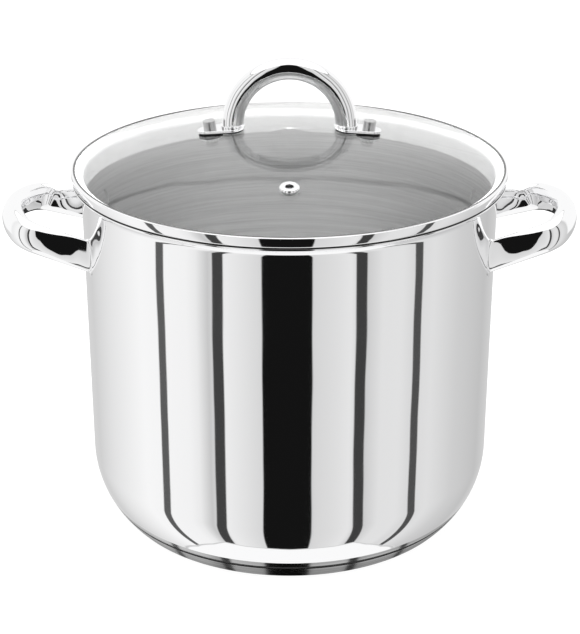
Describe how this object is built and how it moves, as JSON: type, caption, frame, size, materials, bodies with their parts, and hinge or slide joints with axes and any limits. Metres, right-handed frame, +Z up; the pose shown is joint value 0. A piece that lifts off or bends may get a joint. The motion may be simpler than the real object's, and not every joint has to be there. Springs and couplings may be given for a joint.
{
  "type": "stock pot with glass lid",
  "caption": "Tall round stainless stock pot with bent tube side handles and a lift-off domed glass lid that has a steel rim, an arch handle and a steam vent.",
  "frame": {"origin": "centre of the base's flat underside, where the pot stands", "axes": "+Z up along the pot's axis, X along the two side handles, -Y the side of the lid's steam vent"},
  "size_m": [0.3622, 0.2716, 0.2976],
  "materials": {
    "polished_steel": "mirror-polished stainless steel",
    "satin_steel": "fine brushed stainless steel, left inside the pot and on hidden faces",
    "turned_steel": "finely turned stainless steel",
    "base_core": "as rolled",
    "tempered_glass": "clear tempered glass",
    "silicone": "black silicone"
  },
  "bodies": {
    "pot": {"pot_shell": "polished_steel", "base_core_disc": "base_core", "base_cap": "turned_steel", "left_handle_tube": "polished_steel", "left_handle_front_lug": "satin_steel", "left_handle_rear_lug": "satin_steel", "right_handle_tube": "polished_steel", "right_handle_front_lug": "satin_steel", "right_handle_rear_lug": "satin_steel"},
    "lid": {"lid_glass": "tempered_glass", "lid_rim": "polished_steel", "lid_handle_tube": "polished_steel", "lid_handle_left_foot": "polished_steel", "left_upper_seal": "silicone", "left_lower_seal": "silicone", "left_washer": "satin_steel", "left_screw": "satin_steel", "left_cap_nut": "polished_steel", "lid_handle_right_foot": "polished_steel", "right_upper_seal": "silicone", "right_lower_seal": "silicone", "right_washer": "satin_steel", "right_screw": "satin_steel", "right_cap_nut": "polished_steel", "vent_eyelet": "polished_steel", "vent_washer": "satin_steel"}
  },
  "joints": [
    {"name": "lid_lift", "type": "slide", "parent": "pot", "child": "lid", "axis": [0, 0, 1], "range_m": [0, 0.2]}
  ]
}
